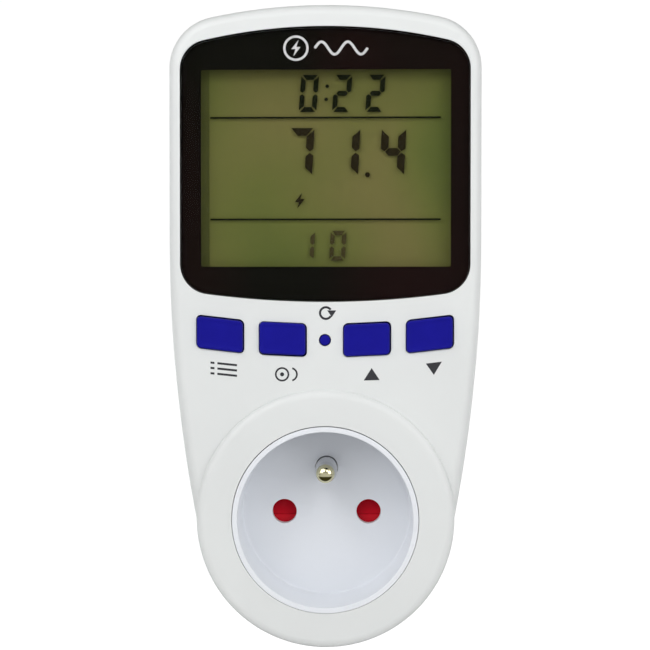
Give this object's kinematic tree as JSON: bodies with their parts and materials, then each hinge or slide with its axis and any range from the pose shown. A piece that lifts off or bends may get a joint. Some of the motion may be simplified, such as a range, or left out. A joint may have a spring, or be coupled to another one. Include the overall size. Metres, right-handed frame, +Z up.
{
  "type": "plug-in power meter",
  "caption": "Plug-in power meter: a tall casing with a display window, push keys, a round earthed socket outlet with a shutter, and a plug on its back.",
  "frame": {"origin": "middle of the plug's face, between its two pins", "axes": "+X to the right seen from the front, +Y into the wall along the plug's pins, +Z up towards the display"},
  "size_m": [0.0678, 0.076, 0.1396],
  "materials": {
    "casing_white": "satin moulded ABS",
    "socket_white": "smooth moulded plastic",
    "key_blue": "satin silicone rubber",
    "window_acrylic": "polished acrylic with a black printed border",
    "gasket_black": "matt foam tape",
    "lcd_glass": "liquid crystal cell with polarisers",
    "reflector_film": "satin reflector film",
    "frame_white": "moulded",
    "zebra_rubber": "striped conductive elastomer",
    "board_green": "solder mask over glass fibre",
    "chip_black": "moulded epoxy",
    "crystal_steel": "plain drawn can",
    "key_mat": "matt silicone rubber",
    "carbon_pill": "matt conductive rubber",
    "shutter_red": "smooth moulded plastic",
    "spring_steel": "drawn wire",
    "pin_nickel": "bright nickel plate",
    "earth_brass": "bright turned brass, lightly plated",
    "contact_brass": "pressed and turned",
    "shunt_alloy": "resistance alloy strip",
    "block_black": "moulded",
    "capacitor_yellow": "moulded box",
    "capacitor_sleeve": "shrunk sleeve",
    "battery_green": "shrunk sleeve",
    "varistor_blue": "dipped coating",
    "cable_grey": "flat cable",
    "wire_brown": "insulated wire",
    "wire_blue": "insulated wire",
    "screw_steel": "zinc plate",
    "label_silver": "printed foil, blank"
  },
  "bodies": {
    "casing": {"front_shell": "casing_white", "rear_shell": "casing_white", "rear_label": "label_silver", "display_window": "window_acrylic", "window_gasket": "gasket_black", "lcd_glass": "lcd_glass", "lcd_reflector": "reflector_film", "lcd_frame": "frame_white", "zebra_strip_lower": "zebra_rubber", "zebra_strip_upper": "zebra_rubber", "display_board": "board_green", "display_chip": "chip_black", "clock_crystal": "crystal_steel", "board_screw_left": "screw_steel", "board_screw_right": "screw_steel", "case_screw_upper_left": "screw_steel", "case_screw_upper_right": "screw_steel", "case_screw_lower_left": "screw_steel", "case_screw_lower_right": "screw_steel", "key_mat": "key_mat", "socket_insert": "socket_white", "earth_pin": "earth_brass", "shutter_spring": "spring_steel", "shutter_housing": "socket_white", "contact_block": "block_black", "live_contact": "contact_brass", "neutral_contact": "contact_brass", "plug_housing": "socket_white", "plug_pin_live": "pin_nickel", "plug_pin_neutral": "pin_nickel", "neutral_link": "contact_brass", "current_shunt": "shunt_alloy", "earth_receptacle": "contact_brass", "earth_bridge": "contact_brass", "earth_clip_upper": "pin_nickel", "earth_clip_lower": "pin_nickel", "earth_strap": "contact_brass", "power_board": "board_green", "dropper_capacitor": "capacitor_yellow", "filter_capacitor": "capacitor_sleeve", "metering_chip": "chip_black", "backup_battery": "battery_green", "varistor": "varistor_blue", "ribbon_cable": "cable_grey", "live_wire": "wire_brown", "neutral_wire": "wire_blue"},
    "key_function": {"key_function": "key_blue", "pill_function": "carbon_pill"},
    "key_cost": {"key_cost": "key_blue", "pill_cost": "carbon_pill"},
    "key_up": {"key_up": "key_blue", "pill_up": "carbon_pill"},
    "key_down": {"key_down": "key_blue", "pill_down": "carbon_pill"},
    "key_reset": {"key_reset": "key_blue", "pill_reset": "carbon_pill"},
    "shutter": {"shutter": "shutter_red"}
  },
  "joints": [
    {"name": "function_press", "type": "slide", "parent": "casing", "child": "key_function", "axis": [0, 1, 0], "range_m": [0, 0.001], "stiffness_N_per_m": 900, "springref_m": -0.0002},
    {"name": "cost_press", "type": "slide", "parent": "casing", "child": "key_cost", "axis": [0, 1, 0], "range_m": [0, 0.001], "stiffness_N_per_m": 900, "springref_m": -0.0002},
    {"name": "up_press", "type": "slide", "parent": "casing", "child": "key_up", "axis": [0, 1, 0], "range_m": [0, 0.001], "stiffness_N_per_m": 900, "springref_m": -0.0002},
    {"name": "down_press", "type": "slide", "parent": "casing", "child": "key_down", "axis": [0, 1, 0], "range_m": [0, 0.001], "stiffness_N_per_m": 900, "springref_m": -0.0002},
    {"name": "reset_press", "type": "slide", "parent": "casing", "child": "key_reset", "axis": [0, 1, 0], "range_m": [0, 0.001], "stiffness_N_per_m": 600, "springref_m": -0.0002},
    {"name": "shutter_slide", "type": "slide", "parent": "casing", "child": "shutter", "axis": [0, 0, -1], "range_m": [0, 0.0062], "stiffness_N_per_m": 60, "springref_m": -0.002, "deforming": ["shutter_spring"]}
  ]
}
